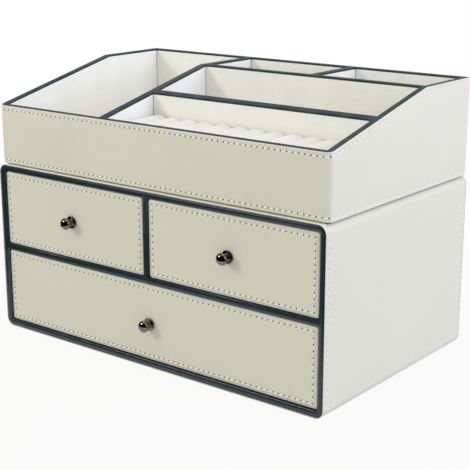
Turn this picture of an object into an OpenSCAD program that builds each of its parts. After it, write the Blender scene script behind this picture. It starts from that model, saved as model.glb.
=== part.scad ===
// Vanity organizer: a wrapped drawer case with three drawers, and an open
// compartment tray that stands on it. Millimetres, +Z up, front towards -Y.
// The origin is the centre of the case's footprint, on the surface it stands on.

/* [Case] */
// Width of the case
case_w = 290; // [250:1:340]
// Depth of the case, front to back
case_d = 176; // [150:1:220]
// Height of the case, with its base felt
case_h = 125.8; // [112:1:150]
// Radius of the case's four long edges
case_r = 6.5; // [5.8:0.1:9]
// Height of the bay that holds the wide drawer
lower_bay_h = 55.2; // [45:0.1:60]
// Middle of the post between the two upper drawers
post_x = -1.4; // [-40:0.1:40]

/* [Wrapping] */
// Thickness of the outer boards
board_t = 4; // [3:0.1:5]
// Thickness of the shelf and the post boards
inner_board_t = 3.2; // [2.4:0.1:5]
// Thickness of the case's and the tray's leather
skin_t = 0.5; // [0.4:0.05:1.3]
// Thickness of the drawer fronts' leather
front_skin_t = 1; // [0.8:0.05:1.3]
// Thickness of the suede lining
lining_t = 0.6; // [0.3:0.05:1]
// Thickness of the felts under the case and under the tray
felt_t = 0.6; // [0.4:0.05:1]
// How far the case's felt stays inside the flat of its underside
felt_inset = 6; // [5:0.5:15]
// How far the tray's felt stays inside the tray's edges
tray_felt_inset = 1.8; // [1.4:0.1:8]

/* [Front frame] */
// Depth of the dark frame on the case's front
frame_depth = 3; // [2:0.1:5]
// Radius of the frame's rounded front edges
frame_round = 1.1; // [0.4:0.1:1.6]
// How far the middle of the frame's bars bulges
frame_crown = 0.35; // [0.1:0.05:0.8]

/* [Drawers] */
// How far the drawer fronts sit behind the frame's face
reveal = 1.2; // [0.5:0.1:5]
// Gap round each drawer front, and beside its box
front_gap = 0.4; // [0.3:0.05:1.6]
// Gap under each drawer box
run_gap = 0.4; // [0.3:0.05:0.6]
// Gap behind a closed drawer
rear_gap = 1; // [0.5:0.1:6]
// Thickness of the drawers' side and back boards
drawer_board_t = 3; // [2:0.1:4]
// Thickness of the drawers' bottom boards
drawer_bottom_t = 2.5; // [1.8:0.1:4]
// How far the drawers' boxes stay below their bay's ceiling
drawer_head_room = 10.4; // [8:0.1:25]
// Radius of the drawer fronts' wrapped edges
front_round = 1.4; // [0.5:0.1:1.8]

/* [Knobs] */
// Diameter of the knob's head
knob_d = 8.3; // [7:0.1:12]
// Thickness of the knob's head
knob_head_t = 6; // [3.6:0.1:6.4]
// How far the knob stands out from the drawer front
knob_out = 9.4; // [9:0.1:14]
// Diameter of the knob's foot
knob_foot_d = 9.2; // [8:0.1:13]
// Diameter of the knob's neck
knob_neck_d = 4.6; // [4.2:0.1:6]
// Diameter of the knob's screw
screw_d = 3; // [2.5:0.1:3.2]
// Length of screw thread inside the knob
screw_grip = 4.5; // [3:0.1:5]
// How far the upper drawers' knobs sit below the middle of their fronts
knob_drop = 0.5; // [0:0.1:5]
// How far the wide drawer's knob sits below the middle of its front
wide_knob_drop = 1.3; // [0:0.1:5]
// How far the right drawer's knob sits left of the middle of its front
right_knob_shift = 1.2; // [0:0.1:3]
// How far the wide drawer's knob sits right of the middle of its front
wide_knob_shift = 0.7; // [0:0.1:3]

/* [Tray] */
// How far the tray stays inside the case's sides
tray_side_inset = 0; // [0:0.1:6]
// How far the tray stays behind the case's front
tray_front_inset = 2.8; // [0:0.1:8]
// How far the tray stays inside the case's back
tray_back_inset = 1.3; // [0:0.1:5]
// Height of the tray's leather at the front
tray_front_h = 42.3; // [38:0.1:60]
// Height of the tray's leather at the back
tray_back_h = 68.4; // [61:0.1:90]
// Length of the level stretch of the side walls, from the back
tray_level = 60.8; // [45:0.1:80]
// Radius of the tray's upright edges
tray_r = 4.4; // [3.8:0.1:4.4]
// Radius of the tray's lower edge
tray_foot_r = 0.5; // [0.3:0.1:2.2]
// Thickness of the tray's front board
tray_front_t = 2.4; // [2:0.1:4]
// Thickness of the dark trim on top of the tray's walls
trim_t = 1.2; // [0.6:0.1:2]
// Thickness of the tray's inner boards
divider_t = 4.4; // [3:0.1:6]
// Middle of the long divider, from the case's centre
divider_x = -44; // [-70:0.1:-20]
// Middle of the partition behind the ring rolls
partition_y = -29.9; // [-40:0.1:-15]
// Middle of the short divider between the two rear compartments
rear_divider_x = 51.5; // [20:0.1:80]

/* [Ring rolls] */
// Distance from one ring roll to the next
roll_pitch = 14.8; // [10:0.1:22]
// Width of the first ring roll, beside the long divider
first_roll_w = 13.9; // [8:0.1:16]
// Height of the ring rolls
roll_h = 24; // [14:0.5:25]
// Height of the rolls' rounded tops
roll_crown = 3; // [2:0.1:7]
// Height of the riser under the ring rolls
riser_h = 11; // [5:0.5:12]
// Thickness of the riser's card
riser_t = 2; // [1:0.1:3]
// Gap round each soft piece
soft_gap = 0.3; // [0.2:0.05:0.5]

/* [Hidden] */
$fn = 48;
tiny = 0.01;

leather = [0.85, 0.84, 0.78];
suede = [0.92, 0.92, 0.90];
navy = [0.12, 0.19, 0.23];
board_colour = [0.72, 0.60, 0.44];
felt_colour = [0.20, 0.21, 0.22];
metal = [0.22, 0.21, 0.20];
steel = [0.72, 0.72, 0.70];

// Case: planes counted from the outside in
front_y = -case_d / 2;
back_y = case_d / 2;
board_front_y = front_y + frame_depth;
board_back_y = back_y - skin_t - board_t;
case_base_z = felt_t;
case_mid_z = (case_base_z + case_h) / 2;
core_w = case_w - 2 * skin_t;
core_h = case_h - case_base_z - 2 * skin_t;
core_r = case_r - skin_t;
hollow_x = core_w / 2 - board_t;
hollow_low_z = case_base_z + skin_t + board_t;
hollow_top_z = case_h - skin_t - board_t;

// Bays: [left, right, floor, ceiling] inside their linings, then how far the
// drawer's knob is to the right of its front's middle, and below it
bay_left_x = -hollow_x + lining_t;
bay_right_x = hollow_x - lining_t;
bay_floor_z = hollow_low_z + lining_t;
shelf_low_z = bay_floor_z + lower_bay_h + lining_t;
shelf_top_z = shelf_low_z + inner_board_t;
upper_floor_z = shelf_top_z + lining_t;
bay_top_z = hollow_top_z - lining_t;
post_half = inner_board_t / 2;
bay_back_y = board_back_y - lining_t;
left_bay = [bay_left_x, post_x - post_half - lining_t, upper_floor_z, bay_top_z, 0, knob_drop];
right_bay = [post_x + post_half + lining_t, bay_right_x, upper_floor_z, bay_top_z,
    -right_knob_shift, knob_drop];
wide_bay = [bay_left_x, bay_right_x, bay_floor_z, shelf_low_z - lining_t,
    wide_knob_shift, wide_knob_drop];

// Drawers
face_y = front_y + reveal;
front_board_y = face_y + front_skin_t;
box_front_y = front_board_y + board_t;
box_back_y = bay_back_y - rear_gap;
front_corner_r = front_round + 0.6;

// Knobs
knob_foot_t = 1.3;
knob_foot_round = 0.5;
knob_cove_r = 0.6;
screw_hole_r = screw_d / 2 + 0.2;
screw_bore_r = screw_d / 2 + 0.05;
screw_head_r = screw_d;
screw_head_t = 1.8;
screw_tip_gap = 0.4;

// Tray
tray_z = case_h + felt_t;
tray_w = case_w - 2 * tray_side_inset;
tray_y0 = front_y + tray_front_inset;
tray_y1 = back_y - tray_back_inset;
tray_d = tray_y1 - tray_y0;
tray_mid_y = (tray_y0 + tray_y1) / 2;
slope_end_y = tray_y1 - tray_level;
tray_core_r = tray_r - skin_t;
tray_floor_z = tray_z + skin_t;
tray_floor_top_z = tray_floor_z + board_t;
tray_in_x = tray_w / 2 - skin_t - board_t;
tray_in_y0 = tray_y0 + skin_t + tray_front_t;
tray_in_y1 = tray_y1 - skin_t - board_t;
divider_half = divider_t / 2;
rear_y = slope_end_y + divider_half + lining_t;

// Tray compartments: [left, right, front, back] between the bare boards
left_room = [-tray_in_x, divider_x - divider_half, tray_in_y0, tray_in_y1];
ring_room = [divider_x + divider_half, tray_in_x, tray_in_y0, partition_y - divider_half];
middle_room = [divider_x + divider_half, tray_in_x, partition_y + divider_half, rear_y - divider_half];
rear_left_room = [divider_x + divider_half, rear_divider_x - divider_half, rear_y + divider_half, tray_in_y1];
rear_right_room = [rear_divider_x + divider_half, tray_in_x, rear_y + divider_half, tray_in_y1];
rooms = [left_room, ring_room, middle_room, rear_left_room, rear_right_room];

// Ring rolls
riser_z = tray_floor_top_z + lining_t;
roll_z = riser_z + riser_h;
roll_x0 = ring_room[0] + lining_t + soft_gap;
roll_x1 = ring_room[1] - lining_t - soft_gap;
roll_y0 = ring_room[2] + lining_t + soft_gap;
roll_y1 = ring_room[3] - lining_t - soft_gap;
roll_count = max(2, floor((roll_x1 - roll_x0 - first_roll_w) / roll_pitch) + 1);
roll_end_round = 2.5;

// ---- Shared shapes ----

// Points of an arc about (cx, cy), from angle a0 to angle a1
function arc(cx, cy, r, a0, a1, steps = 6) =
    [for (i = [0:steps]) let (a = a0 + (a1 - a0) * i / steps) [cx + r * cos(a), cy + r * sin(a)]];

// A box given by its two corners
module block(low, high) {
    translate(low) cube(high - low);
}

// A flat rectangle with round corners, centred
module round_rect(w, h, r) {
    for (x = [-1, 1], y = [-1, 1]) translate([x * (w / 2 - r), y * (h / 2 - r)]) circle(r);
    square([w - 2 * r, h], center = true);
    square([w, h - 2 * r], center = true);
}

// Runs a profile round a rectangle with round corners, in the XY plane. The
// profile's x is the distance from a corner's centre, and its y goes up.
module frame_sweep(w, h, r) {
    for (mx = [0, 1], my = [0, 1])
        mirror([mx, 0, 0]) mirror([0, my, 0])
            translate([w / 2 - r, h / 2 - r, 0]) rotate_extrude(angle = 90) children();
    for (mx = [0, 1])
        mirror([mx, 0, 0]) translate([w / 2 - r, h / 2 - r, 0])
            rotate([90, 0, 0]) linear_extrude(h - 2 * r) children();
    for (my = [0, 1])
        mirror([0, my, 0]) translate([-(w / 2 - r), h / 2 - r, 0])
            rotate([90, 0, 90]) linear_extrude(w - 2 * r) children();
}

// Stands a shape drawn in the XY plane upright, so that it faces the front
module upright(y, z) {
    translate([0, y, z]) rotate([90, 0, 0]) children();
}

// ---- Case ----

// Everything inside the case's leather, between two planes
module case_core(y0, y1) {
    upright(y1, case_mid_z) linear_extrude(y1 - y0) round_rect(core_w, core_h, core_r);
}

module case_side_board(side) {
    edge_x = core_w / 2 + 1;
    color(board_colour) intersection() {
        case_core(board_front_y, board_back_y);
        block([min(side * hollow_x, side * edge_x), board_front_y - 1, 0],
            [max(side * hollow_x, side * edge_x), board_back_y + 1, case_h]);
    }
}

module case_left_board() { case_side_board(-1); }

module case_right_board() { case_side_board(1); }

module case_top_board() {
    color(board_colour) intersection() {
        case_core(board_front_y, board_back_y);
        block([-hollow_x, board_front_y - 1, hollow_top_z], [hollow_x, board_back_y + 1, case_h]);
    }
}

module case_bottom_board() {
    color(board_colour) intersection() {
        case_core(board_front_y, board_back_y);
        block([-hollow_x, board_front_y - 1, 0], [hollow_x, board_back_y + 1, hollow_low_z]);
    }
}

module case_back_board() {
    color(board_colour) case_core(board_back_y, back_y - skin_t);
}

module case_shelf() {
    color(board_colour) block([-hollow_x, board_front_y, shelf_low_z], [hollow_x, board_back_y, shelf_top_z]);
}

module case_post() {
    color(board_colour) block([post_x - post_half, board_front_y, shelf_top_z],
        [post_x + post_half, board_back_y, hollow_top_z]);
}

// The leather runs round the case as a sleeve with folded front and back edges
module case_cover() {
    fold = skin_t * 0.8;
    color(leather) upright(back_y, case_mid_z)
        frame_sweep(case_w, case_h - case_base_z, case_r)
            polygon(concat([[case_r - skin_t, 0]], arc(case_r - fold, fold, fold, -90, 0),
                arc(case_r - fold, case_d - fold, fold, 0, 90), [[case_r - skin_t, case_d]]));
}

module case_back_cover() {
    color(leather) case_core(back_y - skin_t, back_y);
}

// Section of the dark frame's bars: flat behind, crowned in front, with rounded edges
module bead(x0, x1) {
    edge_z = frame_depth - frame_crown - frame_round;
    half = (x1 - x0) / 2;
    crown = [for (i = [1:5]) let (s = 1 - i / 3)
        [(x0 + x1) / 2 + s * (half - frame_round), frame_depth - frame_crown * s * s]];
    polygon(concat([[x0, 0], [x1, 0]], arc(x1 - frame_round, edge_z, frame_round, 0, 90, 5), crown,
        arc(x0 + frame_round, edge_z, frame_round, 90, 180, 5)));
}

// Rounded frame with a rail and a post, whose ends run on under its crown
module case_frame() {
    ring_in = core_r - board_t - lining_t;
    lap = 0.45 * (board_t + lining_t);
    rail_low_z = shelf_low_z - lining_t;
    post_foot_z = (rail_low_z + upper_floor_z) / 2 + 0.05;
    color(navy) {
        upright(board_front_y, case_mid_z) frame_sweep(core_w, core_h, core_r) bead(ring_in, core_r);
        translate([bay_left_x - lap, board_front_y, 0]) rotate([90, 0, 90])
            linear_extrude(bay_right_x - bay_left_x + 2 * lap)
                rotate(90) bead(rail_low_z, upper_floor_z);
        translate([0, board_front_y, post_foot_z]) linear_extrude(bay_top_z - post_foot_z + lap)
            mirror([0, 1]) bead(left_bay[1], right_bay[0]);
    }
}

// Lining of one bay: a thin sleeve that is closed at the back
module bay_lining(bay) {
    difference() {
        block([bay[0] - lining_t, board_front_y, bay[2] - lining_t],
            [bay[1] + lining_t, board_back_y, bay[3] + lining_t]);
        block([bay[0], board_front_y - 1, bay[2]], [bay[1], bay_back_y, bay[3]]);
    }
}

module case_lining() {
    color(suede) {
        bay_lining(left_bay);
        bay_lining(right_bay);
        bay_lining(wide_bay);
    }
}

module case_felt() {
    color(felt_colour) block([-case_w / 2 + case_r + felt_inset, front_y + felt_inset, 0],
        [case_w / 2 - case_r - felt_inset, back_y - felt_inset, felt_t]);
}

// ---- Drawers ----

function front_w(bay) = bay[1] - bay[0] - 2 * front_gap;
function front_h(bay) = bay[3] - bay[2] - 2 * front_gap;
function bay_x(bay) = (bay[0] + bay[1]) / 2;
function bay_z(bay) = (bay[2] + bay[3]) / 2;
function knob_x(bay) = bay_x(bay) + bay[4];
function knob_z(bay) = bay_z(bay) - bay[5];
function box_floor_z(bay) = bay[2] + run_gap;
function box_top_z(bay) = bay[3] - drawer_head_room;
function box_left_x(bay) = bay[0] + front_gap;
function box_right_x(bay) = bay[1] - front_gap;

module knob_hole(bay) {
    translate([knob_x(bay), box_front_y + 1 + lining_t, knob_z(bay)]) rotate([90, 0, 0])
        cylinder(r = screw_hole_r, h = front_skin_t + board_t + lining_t + 2);
}

module front_board(bay) {
    color(board_colour) difference() {
        block([box_left_x(bay) + front_skin_t, front_board_y, bay_z(bay) - front_h(bay) / 2 + front_skin_t],
            [box_right_x(bay) - front_skin_t, box_front_y, bay_z(bay) + front_h(bay) / 2 - front_skin_t]);
        knob_hole(bay);
    }
}

// Leather over the front board, folded round its four edges
module front_cover(bay) {
    w = front_w(bay);
    h = front_h(bay);
    depth = front_skin_t + board_t;
    r = front_corner_r;
    color(leather) difference() {
        upright(box_front_y, bay_z(bay)) translate([bay_x(bay), 0, 0]) {
            frame_sweep(w, h, r) polygon(concat([[0, 0], [r, 0]],
                arc(r - front_round, depth - front_round, front_round, 0, 90), [[0, depth]]));
            translate([0, 0, depth / 2]) cube([w - 2 * r, h - 2 * r, depth], center = true);
        }
        block([box_left_x(bay) + front_skin_t, front_board_y, bay_z(bay) - h / 2 + front_skin_t],
            [box_right_x(bay) - front_skin_t, box_front_y + 1, bay_z(bay) + h / 2 - front_skin_t]);
        knob_hole(bay);
    }
}

module drawer_sides(bay) {
    z = box_floor_z(bay);
    color(board_colour) {
        block([box_left_x(bay), box_front_y, z],
            [box_left_x(bay) + drawer_board_t, box_back_y, box_top_z(bay)]);
        block([box_right_x(bay) - drawer_board_t, box_front_y, z],
            [box_right_x(bay), box_back_y, box_top_z(bay)]);
    }
}

module drawer_back(bay) {
    z = box_floor_z(bay);
    color(board_colour) block([box_left_x(bay) + drawer_board_t, box_back_y - drawer_board_t, z],
        [box_right_x(bay) - drawer_board_t, box_back_y, box_top_z(bay)]);
}

module drawer_bottom(bay) {
    z = box_floor_z(bay);
    color(board_colour) block([box_left_x(bay) + drawer_board_t, box_front_y, z],
        [box_right_x(bay) - drawer_board_t, box_back_y - drawer_board_t, z + drawer_bottom_t]);
}

// Suede inside a drawer: floor, sides and back, and the inner face of its front
module drawer_lining(bay) {
    low = [box_left_x(bay) + drawer_board_t, box_front_y, box_floor_z(bay) + drawer_bottom_t];
    high = [box_right_x(bay) - drawer_board_t, box_back_y - drawer_board_t, box_top_z(bay)];
    color(suede) difference() {
        block(low, high);
        block(low + [lining_t, lining_t, lining_t], high + [-lining_t, -lining_t, 1]);
        knob_hole(bay);
    }
}

// Turned knob: a flat foot, a short neck in a small cove, and a flattened ball,
// with a blind screw hole
module knob(bay) {
    head_r = knob_d / 2;
    head_half = knob_head_t / 2;
    head_z = knob_out - head_half;
    neck_r = knob_neck_d / 2;
    foot_r = knob_foot_d / 2;
    under = asin(min(0.98, neck_r / head_r));
    head = [for (i = [0:12]) let (a = 180 - under - (180 - under) * i / 12)
        [head_r * sin(a), head_z + head_half * cos(a)]];
    cove_r = min(knob_cove_r, 0.9 * (foot_r - knob_foot_round - neck_r));
    cove = [for (i = [0:4]) let (a = 90 * i / 4)
        [neck_r + cove_r * (1 - sin(a)), knob_foot_t + cove_r * (1 - cos(a))]];
    color(metal) translate([knob_x(bay), face_y, knob_z(bay)]) rotate([90, 0, 0]) rotate_extrude()
        polygon(concat([[screw_bore_r, 0]],
            arc(foot_r - knob_foot_round, knob_foot_round, knob_foot_round, -90, 0, 3),
            arc(foot_r - knob_foot_round, knob_foot_t - knob_foot_round, knob_foot_round, 0, 90, 3),
            cove, head,
            [[0, screw_grip + screw_tip_gap], [screw_bore_r, screw_grip + screw_tip_gap]]));
}

module knob_screw(bay) {
    seat_y = box_front_y + lining_t;
    color(steel) translate([knob_x(bay), seat_y, knob_z(bay)]) rotate([90, 0, 0]) {
        cylinder(d = screw_d, h = lining_t + board_t + front_skin_t + screw_grip);
        mirror([0, 0, 1]) rotate_extrude() polygon(concat([[0, 0], [screw_head_r, 0]],
            arc(screw_head_r - 0.8, screw_head_t - 0.8, 0.8, 0, 90, 3), [[0, screw_head_t]]));
    }
}

module left_front_board() { front_board(left_bay); }
module left_front_cover() { front_cover(left_bay); }
module left_sides() { drawer_sides(left_bay); }
module left_back() { drawer_back(left_bay); }
module left_bottom() { drawer_bottom(left_bay); }
module left_lining() { drawer_lining(left_bay); }
module left_knob() { knob(left_bay); }
module left_knob_screw() { knob_screw(left_bay); }
module right_front_board() { front_board(right_bay); }
module right_front_cover() { front_cover(right_bay); }
module right_sides() { drawer_sides(right_bay); }
module right_back() { drawer_back(right_bay); }
module right_bottom() { drawer_bottom(right_bay); }
module right_lining() { drawer_lining(right_bay); }
module right_knob() { knob(right_bay); }
module right_knob_screw() { knob_screw(right_bay); }
module wide_front_board() { front_board(wide_bay); }
module wide_front_cover() { front_cover(wide_bay); }
module wide_sides() { drawer_sides(wide_bay); }
module wide_back() { drawer_back(wide_bay); }
module wide_bottom() { drawer_bottom(wide_bay); }
module wide_lining() { drawer_lining(wide_bay); }
module wide_knob() { knob(wide_bay); }
module wide_knob_screw() { knob_screw(wide_bay); }

// ---- Tray ----

// Everything under the tray's sloping top, lowered by drop
module under_slope(drop) {
    translate([-tray_w / 2, 0, 0]) rotate([90, 0, 90]) linear_extrude(tray_w)
        polygon([[tray_y0, tray_z], [tray_y1, tray_z], [tray_y1, tray_z + tray_back_h - drop],
            [slope_end_y, tray_z + tray_back_h - drop], [tray_y0, tray_z + tray_front_h - drop]]);
}

// Plan of everything inside the tray's leather
module tray_core_plan() {
    translate([0, tray_mid_y]) round_rect(tray_w - 2 * skin_t, tray_d - 2 * skin_t, tray_core_r);
}

// Part of an outer wall: what lies inside a plan rectangle, up to the trim
module outer_wall(x0, x1, y0, y1) {
    color(board_colour) intersection() {
        under_slope(trim_t);
        translate([0, 0, tray_floor_z]) linear_extrude(tray_back_h) intersection() {
            tray_core_plan();
            translate([x0, y0]) square([x1 - x0, y1 - y0]);
        }
    }
}

// Upright inner board, from the floor board up to the trim
module inner_wall(x0, x1, y0, y1) {
    color(board_colour) intersection() {
        under_slope(trim_t);
        block([x0, y0, tray_floor_top_z], [x1, y1, tray_floor_top_z + tray_back_h]);
    }
}

module tray_left_board() { outer_wall(-tray_w / 2, -tray_in_x, tray_y0, tray_y1); }
module tray_right_board() { outer_wall(tray_in_x, tray_w / 2, tray_y0, tray_y1); }
module tray_front_board() { outer_wall(-tray_in_x, tray_in_x, tray_y0, tray_in_y0); }
module tray_back_board() { outer_wall(-tray_in_x, tray_in_x, tray_in_y1, tray_y1); }

module tray_floor() {
    color(board_colour) block([-tray_in_x, tray_in_y0, tray_floor_z],
        [tray_in_x, tray_in_y1, tray_floor_top_z]);
}

module long_divider() {
    inner_wall(left_room[1], ring_room[0], tray_in_y0, tray_in_y1);
}

module ring_partition() {
    inner_wall(ring_room[0], ring_room[1], ring_room[3], middle_room[2]);
}

module rear_partition() {
    inner_wall(ring_room[0], ring_room[1], middle_room[3], rear_left_room[2]);
}

module rear_divider() {
    inner_wall(rear_left_room[1], rear_right_room[0], rear_left_room[2], tray_in_y1);
}

// Leather round the tray's walls, turned under at the foot
module tray_cover() {
    turn_in = 0.4;
    color(leather) intersection() {
        under_slope(0);
        translate([0, tray_mid_y, tray_z]) frame_sweep(tray_w, tray_d, tray_r)
            polygon(concat([[turn_in, 0]], arc(tray_r - tray_foot_r, tray_foot_r, tray_foot_r, -90, 0),
                [[tray_r, tray_back_h + 1], [tray_r - skin_t, tray_back_h + 1], [tray_r - skin_t, skin_t],
                [turn_in, skin_t]]));
    }
}

// Dark trim on top of every wall and divider
module tray_trim() {
    color(navy) difference() {
        intersection() {
            under_slope(0);
            translate([0, 0, tray_z]) linear_extrude(tray_back_h + 1) difference() {
                tray_core_plan();
                for (room = rooms) translate([room[0] + lining_t, room[2] + lining_t])
                    square([room[1] - room[0] - 2 * lining_t, room[3] - room[2] - 2 * lining_t]);
            }
        }
        under_slope(trim_t);
    }
}

// Suede in one compartment: floor and walls, up to the trim
module room_lining(room) {
    intersection() {
        under_slope(trim_t);
        difference() {
            block([room[0], room[2], tray_floor_top_z], [room[1], room[3], tray_z + tray_back_h + 1]);
            block([room[0] + lining_t, room[2] + lining_t, tray_floor_top_z + lining_t],
                [room[1] - lining_t, room[3] - lining_t, tray_z + tray_back_h + 2]);
        }
    }
}

module tray_lining() {
    color(suede) for (room = rooms) room_lining(room);
}

module tray_felt() {
    color(felt_colour) block([-tray_w / 2 + tray_felt_inset, tray_y0 + tray_felt_inset, case_h],
        [tray_w / 2 - tray_felt_inset, tray_y1 - tray_felt_inset, tray_z]);
}

// Card riser that lifts the ring rolls: an upturned shallow box
module ring_riser() {
    color(suede) difference() {
        block([roll_x0, roll_y0, riser_z], [roll_x1, roll_y1, riser_z + riser_h]);
        block([roll_x0 + riser_t, roll_y0 + riser_t, riser_z - 1],
            [roll_x1 - riser_t, roll_y1 - riser_t, riser_z + riser_h - riser_t]);
    }
}

// Section of a roll or of its end: upright sides under a domed top
module domed(w, h, crown, steps) {
    polygon(concat([for (i = [0:steps]) let (a = 180 * i / steps)
        [w / 2 * cos(a), h - crown + crown * sin(a)]], [[-w / 2, 0], [w / 2, 0]]));
}

// One foam roll, from front to back, with softly rounded ends
module ring_roll(x0, x1) {
    length = roll_y1 - roll_y0;
    translate([(x0 + x1) / 2, (roll_y0 + roll_y1) / 2, roll_z]) intersection() {
        rotate([90, 0, 0]) translate([0, 0, -length / 2]) linear_extrude(length)
            domed(x1 - x0, roll_h, roll_crown, 12);
        rotate([90, 0, 90]) translate([0, 0, -(x1 - x0) / 2]) linear_extrude(x1 - x0)
            polygon(concat(arc(length / 2 - roll_end_round, roll_h - roll_end_round, roll_end_round, 0, 90, 4),
                arc(-length / 2 + roll_end_round, roll_h - roll_end_round, roll_end_round, 90, 180, 4),
                [[-length / 2, 0], [length / 2, 0]]));
    }
}

// The last roll takes whatever width is left
module ring_rolls() {
    seam = 0.1;
    color(suede) for (i = [0:roll_count - 1]) {
        left = i == 0 ? roll_x0 : roll_x0 + first_roll_w + (i - 1) * roll_pitch;
        right = i == roll_count - 1 ? roll_x1 : roll_x0 + first_roll_w + i * roll_pitch;
        ring_roll(left + seam, right - seam);
    }
}

case_left_board();
case_right_board();
case_top_board();
case_bottom_board();
case_back_board();
case_shelf();
case_post();
case_cover();
case_back_cover();
case_frame();
case_lining();
case_felt();
left_front_board();
left_front_cover();
left_sides();
left_back();
left_bottom();
left_lining();
left_knob();
left_knob_screw();
right_front_board();
right_front_cover();
right_sides();
right_back();
right_bottom();
right_lining();
right_knob();
right_knob_screw();
wide_front_board();
wide_front_cover();
wide_sides();
wide_back();
wide_bottom();
wide_lining();
wide_knob();
wide_knob_screw();
tray_front_board();
tray_back_board();
tray_left_board();
tray_right_board();
tray_floor();
long_divider();
ring_partition();
rear_partition();
rear_divider();
tray_cover();
tray_trim();
tray_lining();
tray_felt();
ring_riser();
ring_rolls();
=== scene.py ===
import math
import random

import bmesh
import bpy
from mathutils import Matrix, Vector

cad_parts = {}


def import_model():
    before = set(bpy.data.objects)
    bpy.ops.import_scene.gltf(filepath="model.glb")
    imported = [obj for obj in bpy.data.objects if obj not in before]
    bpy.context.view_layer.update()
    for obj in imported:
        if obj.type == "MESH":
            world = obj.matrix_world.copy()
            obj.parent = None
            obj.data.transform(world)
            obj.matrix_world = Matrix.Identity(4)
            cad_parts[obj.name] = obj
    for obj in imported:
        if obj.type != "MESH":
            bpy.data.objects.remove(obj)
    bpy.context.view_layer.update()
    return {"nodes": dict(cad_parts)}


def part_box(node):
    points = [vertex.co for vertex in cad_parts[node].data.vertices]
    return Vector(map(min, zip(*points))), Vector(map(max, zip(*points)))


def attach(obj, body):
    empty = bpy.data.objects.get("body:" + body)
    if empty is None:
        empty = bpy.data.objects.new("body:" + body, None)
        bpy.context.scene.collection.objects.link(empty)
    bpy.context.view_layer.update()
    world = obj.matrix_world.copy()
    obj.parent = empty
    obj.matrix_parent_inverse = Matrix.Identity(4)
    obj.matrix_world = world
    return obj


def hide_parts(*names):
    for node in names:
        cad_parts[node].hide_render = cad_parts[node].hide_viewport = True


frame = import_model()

# The looks of a vanity organizer: a case with three drawers wrapped in cream
# leather, and an open tray on top of it. Metres, front towards -Y.

MM = 0.001
random.seed(11)

# ---- Camera ----

CAMERA_PLACE = Vector((0.51789, -0.64984, 0.30497))
CAMERA_LOOK = Vector((-0.59616, 0.75783, -0.26513))
CAMERA_RIGHT = Vector((0.786, 0.61823, -0.00024))
LENS = 90.333
SENSOR = 36.0

# ---- Wrapping ----

LEATHER = 0.5 * MM              # on the case and the tray
FRONT_LEATHER = 1.0 * MM        # on the drawer fronts
LINING = 0.6 * MM
FRONT_ROUND = 1.4 * MM          # the fold round a drawer front's edges
FRONT_CORNER = 2.0 * MM
FRONT_FIELD = 3.2 * MM          # from the row on a drawer front to its flat middle
SLEEVE_CORNER = 6.5 * MM
SLEEVE_FOLD = 0.4 * MM
TRAY_CORNER = 4.4 * MM
TRAY_BACK_CORNER = 2.4 * MM
TRAY_INNER_CORNER = 0.2 * MM    # the least that a corner comes to inside the leather
TRAY_FOOT = 0.5 * MM            # the fold at the tray's foot
TRAY_RIM = 0.45 * MM            # the fold at the tray's rim
TRAY_TURN_IN = 4.0 * MM         # how far the leather reaches in under the tray
TRAY_PLAIN = 12 * MM            # how far the shaped foot and the shaped rim reach
TRIM = 1.2 * MM
TRIM_BEVEL = 0.28 * MM

# ---- Stitching ----

STITCH = 4.4 * MM               # from one needle hole to the next
STATIONS = 4                    # mesh columns from one needle hole to the next
HOLE_R = 0.58 * MM
HOLE_DEEP = 0.27 * MM
SIDE_HOLE_SHADE = 0.12               # how strong the holes' painted shade is where the leather faces sideways, up or down
GROOVE_DEEP = 0.2 * MM          # how far a row of stitches pulls the leather in
GROOVE_HALF = 1.5 * MM
FRONT_ROW = 3.4 * MM            # rows on the drawer fronts, from their edges
FOOT_ROW = 2.6 * MM             # lower row on the tray, above its foot
RIM_ROW = 2.8 * MM              # upper row on the tray, below its rim
SLEEVE_ROW = 3.3 * MM           # row on the case, behind its front edge
BACK_ROW = 2.2 * MM             # row on the case, before its back edge
THREAD_HALF_W = 0.46 * MM
THREAD_HALF_H = 0.3 * MM
THREAD_RISE = 0.34 * MM
THREAD_LEAN = 0.05              # mm that a stitch may lie off its row
THREAD_TWIST = 26.0             # radians that the plies wind in one stitch
THREAD_SIDES = 6
SIDE_THREAD = 0.6               # how full the thread is at the sides, where it is drawn tight
NO_THREAD = 0.9                 # the case's top and underside, by outward z, have no thread

# A needle hole's rings: share of its radius, share of its depth, and how strong the painted shade is
# there.
HOLE_RINGS = ((1.0, 0.0, 0.0), (0.92, 0.16, 1.0), (0.75, 0.8, 1.0))

# A stitch's rings: share of the way between two holes, rise and thickness.
THREAD_RINGS = ((0.14, -1.7, 0.5), (0.19, -0.4, 0.8), (0.26, 0.6, 1.0), (0.37, 0.95, 1.0),
                (0.5, 1.05, 1.0), (0.63, 0.95, 1.0), (0.74, 0.6, 1.0), (0.81, -0.4, 0.8),
                (0.86, -1.7, 0.5))

# A suede panel's rings: share of the lining's thickness inwards, and upwards.
PANEL_RINGS = ((0.0, 0.0), (0.0, 0.35), (0.1, 0.7), (0.3, 0.92), (0.65, 1.0))

# ---- Knobs and screws ----

KNOB_HEAD = 8.3 * MM
KNOB_HEAD_THICK = 6.0 * MM
KNOB_NECK = 4.6 * MM
KNOB_FOOT = 1.3 * MM
KNOB_RIM = 0.5 * MM             # radius of the foot's rounded edges
KNOB_COVE = 0.6 * MM
SHANK_R = 1.5 * MM
SHANK_TIP = 0.3 * MM            # the point's bevel, inwards
SHANK_TIP_LONG = 0.4 * MM       # the point's bevel, along the shank
RECESS_DEEP = 1.1 * MM          # height of the block that cuts the screw's cross
RECESS_SINK = 0.25 * MM         # how far below the head's top its middle lies

# ---- Ring rolls ----

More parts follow.
